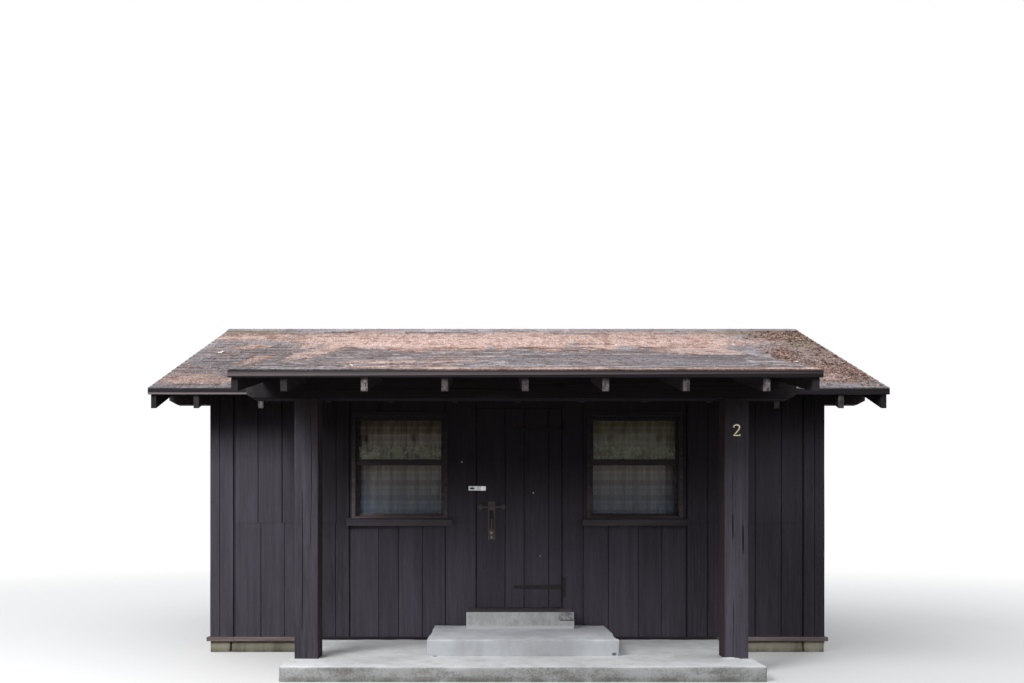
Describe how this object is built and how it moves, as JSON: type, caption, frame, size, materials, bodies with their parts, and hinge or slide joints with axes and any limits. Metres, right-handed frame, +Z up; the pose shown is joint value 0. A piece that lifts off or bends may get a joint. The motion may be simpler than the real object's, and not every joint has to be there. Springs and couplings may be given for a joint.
{
  "type": "small timber cabin with a front porch",
  "caption": "One-room timber cabin on a low concrete foundation, with a gabled roof, a shallow porch roof on posts, a concrete porch slab and steps, and a plank door that opens.",
  "frame": {"origin": "centre of the overall box, at ground level", "axes": "+Z up, -Y towards the porch and its steps, +X to the right as seen from the porch"},
  "size_m": [6.936, 7.01, 3.6563],
  "materials": {
    "concrete": "matte",
    "weathered_plank": "matte",
    "raw_timber": "matte",
    "floor_wood": "matte",
    "dark_siding": "matte",
    "dark_trim": "matte",
    "door_wood": "matte",
    "sash_wood": "matte",
    "post_wood": "matte",
    "rafter_wood": "matte",
    "fascia_wood": "matte",
    "black_iron": "matte",
    "zinc": "matte",
    "glass": "gloss",
    "curtain_cloth": "matte",
    "shingle": "matte"
  },
  "bodies": {
    "cabin": {"foundation_walls": "concrete", "corner_piers": "concrete", "mudsills": "weathered_plank", "sill_beams": "raw_timber", "floor_joists": "raw_timber", "floor_boards": "floor_wood", "wall_plates": "raw_timber", "wall_studs": "raw_timber", "wall_headers": "raw_timber", "front_siding": "dark_siding", "door_bay_siding": "dark_siding", "rear_siding": "dark_siding", "gable_siding": "dark_siding", "corner_boards": "dark_siding", "door_frame": "dark_trim", "hinge_plates": "black_iron", "hasp_staple": "zinc", "window_frames": "dark_trim", "upper_sashes": "sash_wood", "lower_sashes": "sash_wood", "window_glass": "glass", "window_sills": "dark_trim", "curtain_rods": "black_iron", "curtains": "curtain_cloth", "porch_slab": "concrete", "porch_step": "concrete", "door_step": "concrete", "porch_posts": "post_wood", "porch_beam": "post_wood", "porch_rafters": "rafter_wood", "main_rafters": "rafter_wood", "barge_rafters": "rafter_wood", "ridge_board": "raw_timber", "tie_beams": "raw_timber", "eave_blocks": "dark_trim", "fascia_strips": "fascia_wood", "roof_boards": "raw_timber", "main_shingles": "shingle", "porch_shingles": "shingle", "ridge_cap": "shingle"},
    "door": {"door_planks": "door_wood", "door_ledges": "door_wood", "hinge_straps": "black_iron", "door_latch": "black_iron"},
    "hasp": {"hasp_leaf": "zinc"}
  },
  "joints": [
    {"name": "door_swing", "type": "hinge", "parent": "cabin", "child": "door", "pos_m": [0.4435, -1.293, 1.4265], "axis": [0, 0, 1], "range_deg": [0, 160]},
    {"name": "hasp_swing", "type": "hinge", "parent": "door", "child": "hasp", "pos_m": [-0.3745, -1.2945, 1.622], "axis": [0, 0, 1], "range_deg": [0, 150]}
  ]
}
